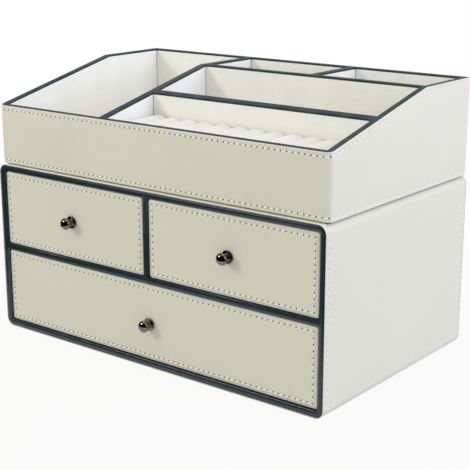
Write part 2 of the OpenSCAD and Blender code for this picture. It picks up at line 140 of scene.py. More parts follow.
FIRST_ROLL = 13.9 * MM
ROLL_PITCH = 14.8 * MM
ROLL_CROWN = 3.2 * MM
ROLL_TOP_ROOM = 0.1 * MM        # left for the velvet to swell
ROLL_SLACK = 0.25 * MM          # how much smaller each roll starts, on every side
ROLL_FLANK = 6 * MM             # height of the point halfway up a roll's sides
ROLL_END_DROP = 0.15 * MM
ROLL_END_LONG = 2.5 * MM        # how far from a roll's end it starts to drop
ROLL_DROP = 0.5 * MM            # how much lower the other rolls are than the first one
ROLL_SEGMENTS = 24
ROLL_AROUND = 14
PUFF_CAP = 0.5 * MM             # the most that a point may move
PUFF_FRAMES = 20

# ---- Mesh limits, in degrees ----

SHARP_ANGLE = 40                # a turn past this looks like an edge
TRIM_SHARP_ANGLE = 60
LEATHER_RUB_ANGLE = 8           # a turn past this is rubbed
TRIM_RUB_ANGLE = 12
NEVER_RUBBED = 180

# ---- Studio ----

FLOOR_HALF = 3.0
FLOOR_WHITE = 0.9               # how much of the floor near the organizer is plain white
FLOOR_FADE = (0.22, 0.5)        # the floor turns plain white between these distances
CARD_NEAR = 0.25                # the black card's distance from the middle, and its far wall
CARD_FAR = 2.0
CARD_HIGH = 3.4
CARD_LIFT = 0.002
CARD_FROM, CARD_ROUND = -200, 220
CARD_STEPS = 32
AIM = Vector((0, 0, 0.1))       # the place that the lamps face

CASE_LOW, CASE_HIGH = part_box("case_cover")
TRAY_LOW, TRAY_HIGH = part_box("tray_cover")
DRAWERS = ("left", "right", "wide")


def points_of(node):
    return [v.co for v in frame["nodes"][node].data.vertices]


TINY = 0.05 * MM
RIM_FRONT_Z = max(p.z for p in points_of("tray_cover") if p.y < TRAY_LOW.y + TINY)
SLOPE_END_Y = min(p.y for p in points_of("tray_cover") if p.z > TRAY_HIGH.z - TINY)


def rim_z(y):
    """Height of the tray's rim: a slope from the front, then level."""
    share = (y - TRAY_LOW.y) / (SLOPE_END_Y - TRAY_LOW.y)
    return RIM_FRONT_Z + (TRAY_HIGH.z - RIM_FRONT_Z) * min(1.0, share)


# ---- Node trees ----

class Tree:
    """A node tree with short calls. A socket given as an input is linked."""

    def __init__(self, tree):
        self.tree = tree

    def add(self, kind, inputs=None, **settings):
        node = self.tree.nodes.new("ShaderNode" + kind)
        for name, value in settings.items():
            setattr(node, name, value)
        for name, value in (inputs or {}).items():
            self.set(node.inputs[name], value)
        return node

    def set(self, socket, value):
        if isinstance(value, bpy.types.NodeSocket):
            self.tree.links.new(value, socket)
        else:
            socket.default_value = value

    def math(self, operation, a, b=0.5, c=0.5):
        node = self.add("Math", operation=operation)
        for socket, value in zip(node.inputs, (a, b, c)):
            self.set(socket, value)
        return node.outputs[0]

    def scaled(self, value, low, high):
        """Spreads a value from 0..1 to low..high."""
        return self.math("MULTIPLY_ADD", value, high - low, low)

    def step(self, value, low, high):
        """0 below low, 1 above high, and smooth between."""
        node = self.add("MapRange", {"Value": value, "From Min": low, "From Max": high},
                        interpolation_type="SMOOTHSTEP")
        return node.outputs["Result"]

    def mix(self, share, a, b):
        node = self.add("Mix", data_type="RGBA")
        self.set(node.inputs["Factor"], share)
        self.set(node.inputs[6], a)
        self.set(node.inputs[7], b)
        return node.outputs[2]

    def noise(self, place, scale, detail, **more):
        """Noise round 0.5, with so many bumps per metre."""
        inputs = {"Vector": place, "Scale": scale, "Detail": detail, **more}
        return self.add("TexNoise", inputs).outputs["Fac"]

    def group(self, name, inputs):
        node = self.add("Group")
        node.node_tree = bpy.data.node_groups[name]
        for key, value in inputs.items():
            self.set(node.inputs[key], value)
        return node


def rgba(colour):
    return (*colour, 1.0)


def new_group(name, inputs, outputs):
    """An empty node group. inputs maps a name to its socket kind and value."""
    tree = bpy.data.node_groups.new(name, "ShaderNodeTree")
    for key, (kind, value) in inputs.items():
        socket = tree.interface.new_socket(key, in_out="INPUT", socket_type="NodeSocket" + kind)
        if value is not None:
            socket.default_value = value
    for key, kind in outputs.items():
        tree.interface.new_socket(key, in_out="OUTPUT", socket_type="NodeSocket" + kind)
    t = Tree(tree)
    given = tree.nodes.new("NodeGroupInput")
    result = tree.nodes.new("NodeGroupOutput")
    return t, given, result


def make_grain_group():
    """Pebbled leather: rounded cells between fine creases, and slow patches."""
    t, given, result = new_group(
        "leather_grain",
        {"Vector": ("Vector", None), "Cells per metre": ("Float", 900.0)},
        {"Height": "Float", "Patches": "Float"})
    vector = given.outputs["Vector"]
    warp = t.add("TexNoise", {"Vector": vector, "Scale": 260.0, "Detail": 2.0})
    nudge = t.add("VectorMath", {0: warp.outputs["Color"]}, operation="SCALE")
    nudge.inputs["Scale"].default_value = 0.0012
    place = t.add("VectorMath", {0: vector, 1: nudge.outputs[0]}, operation="ADD")
    cells = t.add("TexVoronoi", {"Vector": place.outputs[0], "Scale": given.outputs["Cells per metre"]},
                  feature="DISTANCE_TO_EDGE")
    pebble = t.step(cells.outputs["Distance"], 0.0, 0.22)
    fine = t.noise(vector, 5200.0, 2.0)
    height = t.math("MULTIPLY_ADD", fine, 0.25, t.math("MULTIPLY", pebble, 0.75))
    slow = t.noise(vector, 14.0, 3.0)
    t.set(result.inputs["Height"], height)
    t.set(result.inputs["Patches"], t.step(slow, 0.3, 0.7))


def make_nap_group():
    """Brushed pile: fine fibres, and patches where the pile lies another way."""
    t, given, result = new_group(
        "brushed_nap",
        {"Vector": ("Vector", None), "Fibres per metre": ("Float", 4000.0),
         "Patches per metre": ("Float", 45.0)},
        {"Height": "Float", "Patches": "Float"})
    vector = given.outputs["Vector"]
    fibres = t.noise(vector, given.outputs["Fibres per metre"], 4.0, Roughness=0.7)
    patches = t.noise(vector, given.outputs["Patches per metre"], 3.0, Distortion=0.6)
    t.set(result.inputs["Height"], fibres)
    t.set(result.inputs["Patches"], t.step(patches, 0.32, 0.68))


def make_wear_group():
    """Rubbed edges: a mask from the mesh's own edge values, broken up by noise."""
    t, given, result = new_group(
        "rubbed_edges",
        {"Colour": ("Color", (0.5, 0.5, 0.5, 1.0)), "Rubbed colour": ("Color", (0.8, 0.8, 0.8, 1.0)),
         "Amount": ("Float", 0.5)},
        {"Colour": "Color"})
    edge = t.add("Attribute", attribute_name="edge")
    place = t.add("TexCoord")
    rub = t.noise(place.outputs["Object"], 120.0, 4.0)
    broken = t.math("MULTIPLY", edge.outputs["Fac"], t.step(rub, 0.25, 0.7))
    mask = t.math("MULTIPLY", broken, given.outputs["Amount"])
    t.set(result.inputs["Colour"], t.mix(mask, given.outputs["Colour"], given.outputs["Rubbed colour"]))


# ---- Finishes ----

def new_material(name):
    material = bpy.data.materials.new(name)
    material.use_nodes = True
    t = Tree(material.node_tree)
    shader = material.node_tree.nodes["Principled BSDF"]
    place = t.add("TexCoord").outputs["Object"]
    return material, t, shader, place


def bump(t, height, strength, depth):
    node = t.add("Bump", {"Height": height, "Strength": strength, "Distance": depth})
    return node.outputs["Normal"]


def tinted(colour, amount):
    return tuple(min(1.0, c * amount) for c in colour)


def leather_finish(name, colour, rubbed, cells=900.0, roughness=(0.42, 0.54), relief=0.22,
                   rub=0.5, specular=0.42):
    """Coated leather with pebble grain, painted shade in its creases and needle holes, and rubbed
    edges.
    """
    material, t, shader, place = new_material(name)
    grain = t.group("leather_grain", {"Vector": place, "Cells per metre": cells})
    shade = t.mix(grain.outputs["Patches"], rgba(tinted(colour, 0.985)), rgba(tinted(colour, 1.012)))
    # Painted shade: the grain's low creases are mixed up to 5% towards a darker tone.
    crease_shaded = t.mix(t.scaled(grain.outputs["Height"], 0.05, 0.0), shade, rgba(tinted(colour, 0.6)))
    worn = t.group("rubbed_edges", {"Colour": crease_shaded, "Rubbed colour": rgba(rubbed), "Amount": rub})
    # The needle holes get painted shade: mixed towards a near-black brown, and made fully rough.
    hole = t.add("Attribute", attribute_name="hole").outputs["Fac"]
    t.set(shader.inputs["Base Color"], t.mix(hole, worn.outputs["Colour"], rgba(HOLE_SHADE_BROWN)))
    gloss = t.scaled(grain.outputs["Patches"], *roughness)
    t.set(shader.inputs["Roughness"], t.math("MAXIMUM", gloss, hole))
    t.set(shader.inputs["Normal"], bump(t, grain.outputs["Height"], relief, 0.12 * MM))
    shader.inputs["Specular IOR Level"].default_value = specular
    return material


def nap_finish(name, colour, fibres=4000.0, patches=45.0, contrast=0.03, relief=0.3, sheen=0.25):
    """Suede, velvet, felt or flocking: brushed patches over fine fibres, with painted shade between the
    fibres.
    """
    material, t, shader, place = new_material(name)
    nap = t.group("brushed_nap", {"Vector": place, "Fibres per metre": fibres,
                                  "Patches per metre": patches})
    brushed = t.mix(nap.outputs["Patches"], rgba(tinted(colour, 1 - contrast)),
                    rgba(tinted(colour, 1 + contrast / 2)))
    # Painted shade: low spots between the fibres are mixed up to 12% towards a darker tone.
    fibre_shaded = t.mix(t.scaled(nap.outputs["Height"], 0.12, 0.0), brushed, rgba(tinted(colour, 0.72)))
    t.set(shader.inputs["Base Color"], fibre_shaded)
    t.set(shader.inputs["Roughness"], t.scaled(nap.outputs["Patches"], 0.86, 0.96))
    t.set(shader.inputs["Normal"], bump(t, nap.outputs["Height"], relief, 0.15 * MM))
    shader.inputs["Specular IOR Level"].default_value = 0.15
    shader.inputs["Sheen Weight"].default_value = sheen
    shader.inputs["Sheen Roughness"].default_value = 0.5
    return material


def board_finish(name, colour, speck):
    """Pressed board or card, with longer and shorter fibres in it."""
    material, t, shader, place = new_material(name)
    stretched = t.add("Mapping", {"Vector": place, "Scale": (1.0, 0.35, 1.0)}).outputs["Vector"]
    fibres = t.noise(stretched, 1600.0, 5.0, Roughness=0.65)
    clouds = t.noise(place, 60.0, 3.0)
    base = t.mix(t.step(clouds, 0.3, 0.7), rgba(tinted(colour, 0.95)), rgba(tinted(colour, 1.04)))
    specks = t.step(fibres, 0.56, 0.72)
    t.set(shader.inputs["Base Color"], t.mix(t.math("MULTIPLY", specks, 0.5), base, rgba(speck)))
    t.set(shader.inputs["Roughness"], t.scaled(clouds, 0.7, 0.85))
    t.set(shader.inputs["Normal"], bump(t, fibres, 0.25, 0.1 * MM))
    return material


def metal_finish(name, colour, roughness, scratch=0.06):
    """Plated metal: faint turning marks, finger smears and fine scratches."""
    material, t, shader, place = new_material(name)
    smear = t.noise(place, 420.0, 3.0)
    marks = t.add("Mapping", {"Vector": place, "Scale": (1.0, 14.0, 1.0)}).outputs["Vector"]
    lines = t.noise(marks, 900.0, 2.0)
    smeared = t.step(smear, 0.35, 0.7)
    shade = t.mix(smeared, rgba(tinted(colour, 0.9)), rgba(tinted(colour, 1.1)))
    t.set(shader.inputs["Base Color"], shade)
    t.set(shader.inputs["Roughness"], t.scaled(smeared, roughness * 0.85, roughness * 1.2))
    t.set(shader.inputs["Normal"], bump(t, lines, scratch, 0.02 * MM))
    shader.inputs["Metallic"].default_value = 1.0
    return material


def thread_finish(name, colour):
    """Two-ply sewing thread: the plies wind round it, and the furrows between them carry painted shade.
    """
    material, t, shader, place = new_material(name)
    twist = t.add("Attribute", attribute_name="twist").outputs["Fac"]
    plies = t.math("SINE", twist)
    furrow = t.step(plies, -1.0, -0.2)
    # Painted shade: the furrows between the plies are darker than the plies.
    t.set(shader.inputs["Base Color"], t.mix(furrow, rgba(tinted(colour, 0.88)), rgba(colour)))
    fuzz = t.noise(place, 9000.0, 2.0)
    t.set(shader.inputs["Roughness"], t.scaled(fuzz, 0.5, 0.75))
    t.set(shader.inputs["Normal"], bump(t, furrow, 0.5, 0.05 * MM))
    shader.inputs["Sheen Weight"].default_value = 0.2
    return material


make_grain_group()
make_nap_group()
make_wear_group()

CREAM = (0.735, 0.73, 0.64)
NAVY = (0.008, 0.028, 0.038)
# Near-black brown that is painted into the needle holes as their shade.
HOLE_SHADE_BROWN = (0.03, 0.02, 0.012)

cream_leather = leather_finish("cream_leather", CREAM, (0.84, 0.84, 0.79))
navy_leather = leather_finish("navy_edge_leather", NAVY, (0.05, 0.075, 0.09), cells=1500.0,
                              roughness=(0.5, 0.62), relief=0.1, rub=0.5, specular=0.2)
frame_leather = leather_finish("navy_frame_leather", NAVY, (0.05, 0.075, 0.09), cells=1500.0,
                               roughness=(0.22, 0.3), relief=0.08, rub=0.12, specular=0.5)
suede = nap_finish("off_white_suede", (0.89, 0.89, 0.87), contrast=0.025)
velvet = nap_finish("white_velvet", (0.8, 0.8, 0.785), fibres=5200.0, patches=90.0, contrast=0.03,
                    sheen=0.1)
felt = nap_finish("dark_felt", (0.035, 0.038, 0.04), fibres=2200.0, patches=70.0, contrast=0.15,
                  relief=0.6, sheen=0.2)
bare_board = board_finish("pressed_board", (0.46, 0.35, 0.22), (0.25, 0.17, 0.1))
paper_board = leather_finish("wrapped_board", (0.8, 0.79, 0.75), (0.86, 0.86, 0.84), cells=2600.0,
                             roughness=(0.6, 0.72), relief=0.12, rub=0.3, specular=0.3)
card = board_finish("riser_card", (0.75, 0.73, 0.68), (0.6, 0.57, 0.5))
black_nickel = metal_finish("black_nickel", (0.2, 0.185, 0.16), 0.09)
screw_steel = metal_finish("zinc_steel", (0.62, 0.61, 0.58), 0.3, scratch=0.12)
thread = thread_finish("cream_thread", (0.97, 0.965, 0.92))


# ---- Making pieces ----

def finish_mesh(mesh, material, sharp_angle):
    mesh.materials.append(material)
    mesh.validate()
    mesh.shade_smooth()
    mesh.set_sharp_from_angle(angle=math.radians(sharp_angle))


def new_piece(name, mesh, body, nodes=()):
    piece = bpy.data.objects.new(name, mesh)
    bpy.context.scene.collection.objects.link(piece)
    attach(piece, body)
    if nodes:
        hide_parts(*nodes)
    return piece


def float_attribute(mesh, name, values):
    layer = mesh.attributes.new(name, "FLOAT", "POINT")
    layer.data.foreach_set("value", values)


class Shell:
    """Collects points and faces, with edge values and the needle holes' painted shade for the finishes.
    """

    def __init__(self):
        self.points = []
        self.faces = []
        self.edge = []
        self.hole = []

    def point(self, place, edge=0.0, hole=0.0):
        self.points.append(tuple(place))
        self.edge.append(edge)
        self.hole.append(hole)
        return len(self.points) - 1

    def ring(self, places, edge=0.0):
        return [self.point(p, edge) for p in places]

    def band(self, low, high, keep=lambda j: True):
        """Quads between two closed rings."""
        count = len(low)
        for j in range(count):
            if keep(j):
                after = (j + 1) % count
                self.faces.append((low[j], low[after], high[after], high[j]))

    def mesh(self, name, material, sharp_angle=SHARP_ANGLE):
        mesh = bpy.data.meshes.new(name)
        mesh.from_pydata(self.points, [], self.faces)
        float_attribute(mesh, "edge", self.edge)
        float_attribute(mesh, "hole", self.hole)
        finish_mesh(mesh, material, sharp_angle)
        return mesh


def bevel_hard(bm, hard_angle, offset, segments):
    """Rounds the edges where two faces turn by more than hard_angle."""
    limit = math.radians(hard_angle)
    hard = [e for e in bm.edges if e.is_manifold and e.calc_face_angle(0) > limit]
    bmesh.ops.bevel(bm, geom=hard, offset=offset, segments=segments, affect="EDGES",
                    profile=0.5, clamp_overlap=True)


def tidy_copy(node, bevel):
    """The node's own mesh with merged points, flat faces joined and edges rounded."""
    bm = bmesh.new()
    bm.from_mesh(frame["nodes"][node].data)
    bmesh.ops.remove_doubles(bm, verts=bm.verts, dist=0.002 * MM)
    bmesh.ops.dissolve_limit(bm, angle_limit=math.radians(0.5), verts=bm.verts, edges=bm.edges)
    if bevel:
        bm.normal_update()
        bevel_hard(bm, SHARP_ANGLE, bevel, 2)
    return bm


def rubbed_mesh(bm, name, material, rub_angle):
    """Ends a bmesh as a mesh, rubbed where its faces turn by more than rub_angle."""
    bm.normal_update()
    turns = [max((e.calc_face_angle(0) for e in v.link_edges), default=0) for v in bm.verts]
    mesh = bpy.data.meshes.new(name)
    bm.to_mesh(mesh)
    bm.free()
    limit = math.radians(rub_angle)
    float_attribute(mesh, "edge", [1.0 if turn > limit else 0.0 for turn in turns])
    finish_mesh(mesh, material, SHARP_ANGLE)
    return mesh


def dressed(node, body, material, bevel=0.0, rub_angle=LEATHER_RUB_ANGLE):
    """A finished piece with the shape of its node."""
    mesh = rubbed_mesh(tidy_copy(node, bevel), node + "_finish", material, rub_angle)
    new_piece(node + "_finish", mesh, body, [node])


# ---- Rings round a rectangle with round corners ----

def side_run(length, first_radius, last_radius):
    """Length of one side, from the middle of its first corner to its last."""
    return length - (first_radius + last_radius) * (1 - math.pi / 4)


def side_point(length, first_radius, last_radius, share):
    """A point of one side: how far along the side, and how far inside it."""
    run = side_run(length, first_radius, last_radius)
    from_start, to_end = run * share, run * (1 - share)
    for radius, way, flip in ((first_radius, from_start, False), (last_radius, to_end, True)):
        arc = math.pi * radius / 4
        if radius and way < arc:
            turn = (1 - way / arc) * math.pi / 4
            along = radius * (1 - math.sin(turn))
            return length - along if flip else along, radius * (1 - math.cos(turn))
    return first_radius + from_start - math.pi * first_radius / 4, 0.0


def stitch_counts(width, height, radii, inset=0.0):
    """Whole stitches along each of the four sides."""
    lengths = (width, height, width, height)
    return [max(2, round(side_run(length - 2 * inset, radii[i], radii[(i + 1) % 4]) / STITCH))
            for i, length in enumerate(lengths)]


def round_ring(x0, x1, y0, y1, radii, counts):
    """The ring's points, counter-clockwise, from the middle of the corner x0, y0."""
    sides = (((x0, y0), (1, 0), x1 - x0), ((x1, y0), (0, 1), y1 - y0),
             ((x1, y1), (-1, 0), x1 - x0), ((x0, y1), (0, -1), y1 - y0))
    ring = []
    for i, ((sx, sy), (dx, dy), length) in enumerate(sides):
        steps = counts[i] * STATIONS
        for step in range(steps):
            a, b = side_point(length, radii[i], radii[(i + 1) % 4], step / steps)
            ring.append((sx + a * dx - b * dy, sy + a * dy + b * dx))
    return ring


# ---- Stitched leather ----

def sew_row(shell, rings, k):
    """Joins three rings round a row of needle holes, at every whole stitch."""
    low, row, high = rings[k - 1], rings[k], rings[k + 1]
    count = len(row)
    near_hole = (0, STATIONS - 1)
    for a, b in ((low, row), (row, high)):
        shell.band(a, b, lambda j: j % STATIONS not in near_hole)
    for j in range(0, count, STATIONS):
        before, after = (j - 1) % count, (j + 1) % count
        rim = [low[before], low[j], low[after], row[after],
               high[after], high[j], high[before], row[before]]
        middle = Vector(shell.points[row[j]])
        around = [Vector(shell.points[i]) - middle for i in rim]
        outward = (around[3] - around[7]).cross(around[5] - around[1]).normalized()
        flat = [(d - outward * d.dot(outward)).normalized() for d in around]
        # The holes' painted shade is full where the leather faces front or back, and faint elsewhere.
        shade = 1.0 if abs(outward.y) > 0.5 else SIDE_HOLE_SHADE
        previous = rim
        for radius, drop, dark in HOLE_RINGS:
            ring = [shell.point(middle + d * HOLE_R * radius - outward * HOLE_DEEP * drop, 0.0,
                                dark * shade)
                    for d in flat]
            shell.band(previous, ring)
            previous = ring
        bottom = shell.point(middle - outward * HOLE_DEEP, 0.0, shade)
        for i in range(len(previous)):
            shell.faces.append((previous[i], previous[(i + 1) % len(previous)], bottom))


def skin(levels, rows):
    """A closed band of leather over a list of (places, edge value), sewn at the rows."""
    shell = Shell()
    rings = [shell.ring(places, edge) for places, edge in levels]
    for k in range(len(rings) - 1):
        if k not in rows and k + 1 not in rows:
            shell.band(rings[k], rings[k + 1])
    for k in rows:
        sew_row(shell, rings, k)
    return shell, rings


def groove_levels(centre):
    """Places across a row, and how deep the leather lies there."""
    return [(centre - GROOVE_HALF, 0.0), (centre - 0.55 * GROOVE_HALF, 0.45 * GROOVE_DEEP),
            (centre, GROOVE_DEEP), (centre + 0.55 * GROOVE_HALF, 0.45 * GROOVE_DEEP),
            (centre + GROOVE_HALF, 0.0)]


def threads(name, body, rows):
    """The stitches of several rows as one piece: each dives into its two holes.
    A row is a closed list of (place, outward) at every station."""
    shell = Shell()
    twist = []
    for row in rows:
        count = len(row)
        for j in range(0, count, STATIONS):
            knots = [row[(j + i) % count] for i in range(STATIONS + 1)]
            if abs(knots[0][1].z) > NO_THREAD:
                continue
            lean = random.uniform(-THREAD_LEAN, THREAD_LEAN) * MM
            previous = None
            for share, rise, size in THREAD_RINGS:
                i = min(int(share * STATIONS), STATIONS - 1)
                f = share * STATIONS - i
                place = knots[i][0].lerp(knots[i + 1][0], f)
                outward = knots[i][1].lerp(knots[i + 1][1], f).normalized()
                along = (knots[i + 1][0] - knots[i][0]).normalized()
                across = along.cross(outward).normalized()
                fullness = SIDE_THREAD + (1.0 - SIDE_THREAD) * abs(outward.y)
                centre = place + outward * rise * THREAD_RISE * fullness + across * lean
                ring = []
                for s in range(THREAD_SIDES):
                    turn = 2 * math.pi * s / THREAD_SIDES
                    offset = (across * math.cos(turn) * THREAD_HALF_W
                              + outward * math.sin(turn) * THREAD_HALF_H)
                    ring.append(shell.point(centre + offset * size * fullness))
                    twist.append(turn + share * THREAD_TWIST)
                if previous:
                    shell.band(previous, ring)
                else:
                    shell.faces.append(tuple(reversed(ring)))
                previous = ring
            shell.faces.append(tuple(previous))
    mesh = shell.mesh(name, thread, 80)
    float_attribute(mesh, "twist", twist)
    new_piece(name, mesh, body)


def row_stations(shell, rings, k):
    """Place and outward direction at every station of a ring."""
    low, row, high = rings[k - 1], rings[k], rings[k + 1]
    count = len(row)
    stations = []
    for j in range(count):
        along = Vector(shell.points[row[(j + 1) % count]]) - Vector(shell.points[row[j - 1]])
        across = Vector(shell.points[high[j]]) - Vector(shell.points[low[j]])
        stations.append((Vector(shell.points[row[j]]), along.cross(across).normalized()))
    return stations


def sewn_piece(name, body, node, stitches, shell, rings, rows):
    """The leather as one piece that stands for its node, and its stitches as another."""
    new_piece(name, shell.mesh(name, cream_leather), body, [node])
    threads(stitches, body, [row_stations(shell, rings, k) for k in rows])


def arc_steps(radius, steps=5):
    """A quarter turn as (how far in from the edge, how far down from the face)."""
    return [(radius * (1 - math.sin(a)), radius * (1 - math.cos(a)))
            for a in [math.pi / 2 * (1 - i / steps) for i in range(steps + 1)]]


# ---- Drawer fronts ----

def front_cover(drawer):
    """Leather folded over a drawer's front board, with a stitched border."""
    low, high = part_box(drawer + "_front_cover")
    counts = stitch_counts(high.x - low.x, high.z - low.z, [0.0] * 4, FRONT_ROW)

    def places(inset, y):
        radii = [max(0.0, FRONT_CORNER - inset)] * 4
        ring = round_ring(low.x + inset, high.x - inset, low.z + inset, high.z - inset, radii, counts)
        return [Vector((x, y, z)) for x, z in ring]

    levels = [(places(FRONT_LEATHER, high.y), 0.0), (places(0.0, high.y), 0.0),
              (places(0.0, (low.y + high.y) / 2), 0.0)]
    levels += [(places(a, low.y + b), 1.0) for a, b in reversed(arc_steps(FRONT_ROUND))]
    levels += [(places(a, low.y + b), 0.0) for a, b in groove_levels(FRONT_ROW)]
    row = len(levels) - 3
    levels.append((places(FRONT_ROW + FRONT_FIELD, low.y), 0.0))
    shell, rings = skin(levels, [row])
    shell.faces.append(tuple(rings[-1]))
    sewn_piece(drawer + "_front_leather", drawer + "_drawer", drawer + "_front_cover",
               drawer + "_front_stitches", shell, rings, [row])


# ---- Case ----

def case_sleeve():
    """Leather round the case, with a stitched row near its front and back edges."""
    width, height = CASE_HIGH.x - CASE_LOW.x, CASE_HIGH.z - CASE_LOW.z
    counts = stitch_counts(width, height, [SLEEVE_CORNER] * 4)

    def places(inset, y):
        ring = round_ring(CASE_LOW.x + inset, CASE_HIGH.x - inset,
                          CASE_LOW.z + inset, CASE_HIGH.z - inset,
                          [SLEEVE_CORNER - inset] * 4, counts)
        return [Vector((x, y, z)) for x, z in ring]

    front, back = CASE_LOW.y, CASE_HIGH.y
    fold = arc_steps(SLEEVE_FOLD, 4)
    levels = [(places(LEATHER, back), 0.0)]
    levels += [(places(b, back - a), 1.0) for b, a in fold]
    levels += [(places(b, back - a), 0.0) for a, b in groove_levels(BACK_ROW) if a > SLEEVE_FOLD]
    back_row = len(levels) - 3
    levels.append((places(0.0, (front + back) / 2), 0.0))
    levels += [(places(b, front + a), 0.0) for a, b in reversed(groove_levels(SLEEVE_ROW))]
    front_row = len(levels) - 3
    levels += [(places(b, front + a), 1.0) for b, a in reversed(fold)]
    levels.append((places(LEATHER, front), 0.0))
    shell, rings = skin(levels, [back_row, front_row])
    shell.band(rings[-1], rings[0])
    sewn_piece("case_sleeve_leather", "case", "case_cover", "case_stitches", shell, rings,
               [back_row, front_row])


# ---- Tray ----

def tray_leather():
    """Leather round the tray, from its rounded foot to its sloping rim."""
    low, high = TRAY_LOW, TRAY_HIGH
    corners = (TRAY_CORNER, TRAY_CORNER, TRAY_BACK_CORNER, TRAY_BACK_CORNER)
    counts = stitch_counts(high.x - low.x, high.y - low.y, corners)

    def plan(inset):
        ring = round_ring(low.x + inset, high.x - inset, low.y + inset, high.y - inset,
                          [max(TRAY_INNER_CORNER, corner - inset) for corner in corners], counts)

        def off_the_bend(j, side):
            return abs(ring[j][1] - SLOPE_END_Y) + (ring[j][0] * side < 0)

        bend = [min(range(len(ring)), key=lambda j: off_the_bend(j, side)) for side in (-1, 1)]
        return [(x, SLOPE_END_Y if j in bend else y) for j, (x, y) in enumerate(ring)]

    def from_foot(inset, rise):
        return [Vector((x, y, low.z + rise)) for x, y in plan(inset)]

    def from_rim(inset, drop):
        return [Vector((x, y, rim_z(y) - drop)) for x, y in plan(inset)]

    levels = [(from_foot(TRAY_TURN_IN, LEATHER), 0.0), (from_foot(TRAY_TURN_IN, 0.0), 0.0)]
    foot = arc_steps(TRAY_FOOT, 6)
    levels += [(from_foot(a, b), 0.5) for b, a in foot]
    levels += [(from_foot(b, a), 0.0) for a, b in groove_levels(FOOT_ROW) if a > TRAY_FOOT]
    foot_row = len(levels) - 3
    levels.append((from_foot(0.0, TRAY_PLAIN), 0.0))
    levels.append((from_rim(0.0, TRAY_PLAIN), 0.0))
    levels += [(from_rim(b, a), 0.0) for a, b in reversed(groove_levels(RIM_ROW))]
    rim_row = len(levels) - 3
    levels += [(from_rim(a, b), 1.0) for a, b in reversed(arc_steps(TRAY_RIM, 3))]
    levels += [(from_rim(LEATHER, 0.0), 0.0), (from_rim(LEATHER, 2 * TRIM), 0.0),
               (from_foot(LEATHER, LEATHER), 0.0)]
    shell, rings = skin(levels, [foot_row, rim_row])
    shell.band(rings[-1], rings[0])
    sewn_piece("tray_leather", "tray", "tray_cover", "tray_stitches", shell, rings,
               [foot_row, rim_row])


# ---- Linings: a suede panel on each wall ----

def shrunk(points, inset):
    """A flat convex outline moved inwards by inset on every side."""
    count = len(points)
    normal = (points[1] - points[0]).cross(points[2] - points[1]).normalized()
    inward = [normal.cross((points[(i + 1) % count] - points[i]).normalized()) for i in range(count)]
    return [points[i] + (inward[i - 1] + inward[i]) * inset / (1 + inward[i - 1].dot(inward[i]))
            for i in range(count)]


def add_panel(shell, outline):
    """A thin padded panel with softly rounded edges, standing up from its outline."""
    normal = (outline[1] - outline[0]).cross(outline[2] - outline[1]).normalized()
    rings = [shell.ring([p + normal * LINING * rise for p in shrunk(outline, LINING * inset)])
             for inset, rise in PANEL_RINGS]
    for low, high in zip(rings, rings[1:]):
        shell.band(low, high)
    shell.faces.append(tuple(reversed(rings[0])))
    shell.faces.append(tuple(rings[-1]))


def lined_room(shell, low, high, walls, top=None):
    """Panels on the named walls of a box. top gives the height of its rim at y."""
    x0, x1 = low.x + LINING, high.x - LINING
    y0, y1 = low.y + LINING, high.y - LINING
    z0 = low.z + LINING
    y_open = low.y if "front" not in walls else y0
    z_end = high.z - LINING if "ceiling" in walls else high.z
    rim = top or (lambda y: z_end)
    profile = [(y_open, z0), (y1, z0), (y1, rim(y1))]
    if top and y0 < SLOPE_END_Y < y1 - TINY:
        profile.append((SLOPE_END_Y, rim(SLOPE_END_Y)))
    profile.append((y_open, rim(y_open)))
    outlines = {
        "left": [Vector((low.x, y, z)) for y, z in profile],
        "right": [Vector((high.x, y, z)) for y, z in reversed(profile)],
        "front": [Vector((x, low.y, z)) for x, z in
                  ((x1, z0), (x0, z0), (x0, rim(low.y)), (x1, rim(low.y)))],
        "back": [Vector((x, high.y, z)) for x, z in ((x0, z0), (x1, z0), (x1, rim(y1)), (x0, rim(y1)))],
        "floor": [Vector((x, y, low.z)) for x, y in ((x0, y_open), (x1, y_open), (x1, y1), (x0, y1))],
        "ceiling": [Vector((x, y, high.z)) for x, y in
                    ((x0, y1), (x1, y1), (x1, y_open), (x0, y_open))],
    }
    for wall in walls:
        add_panel(shell, outlines[wall])


OPEN_TOP = ("floor", "left", "right", "front", "back")
OPEN_FRONT = ("floor", "ceiling", "left", "right", "back")


def lining_piece(name, body, node, shell):
    new_piece(name, shell.mesh(name, suede, 50), body, [node])


def tray_rooms():
    """The five compartments between the bare boards, as (low, high) corners."""
    floor_low, floor_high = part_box("tray_floor")
    long_low, long_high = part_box("long_divider")
    ring_low, ring_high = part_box("ring_partition")
    rear_low, rear_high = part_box("rear_partition")
    short_low, short_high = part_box("rear_divider")
    z0, z1 = floor_high.z, TRAY_HIGH.z
    long_room = (floor_low.x, long_low.x, floor_low.y, floor_high.y)
    ring_room = (long_high.x, floor_high.x, floor_low.y, ring_low.y)
    middle_room = (long_high.x, floor_high.x, ring_high.y, rear_low.y)
    rear_left_room = (long_high.x, short_low.x, rear_high.y, floor_high.y)
    rear_right_room = (short_high.x, floor_high.x, rear_high.y, floor_high.y)
    return [(Vector((x0, y0, z0)), Vector((x1, y1, z1))) for x0, x1, y0, y1 in
            (long_room, ring_room, middle_room, rear_left_room, rear_right_room)]


def tray_linings():
    shell = Shell()
    for low, high in tray_rooms():
        lined_room(shell, low, high, OPEN_TOP, lambda y: rim_z(y) - TRIM)
    lining_piece("tray_suede", "tray", "tray_lining", shell)


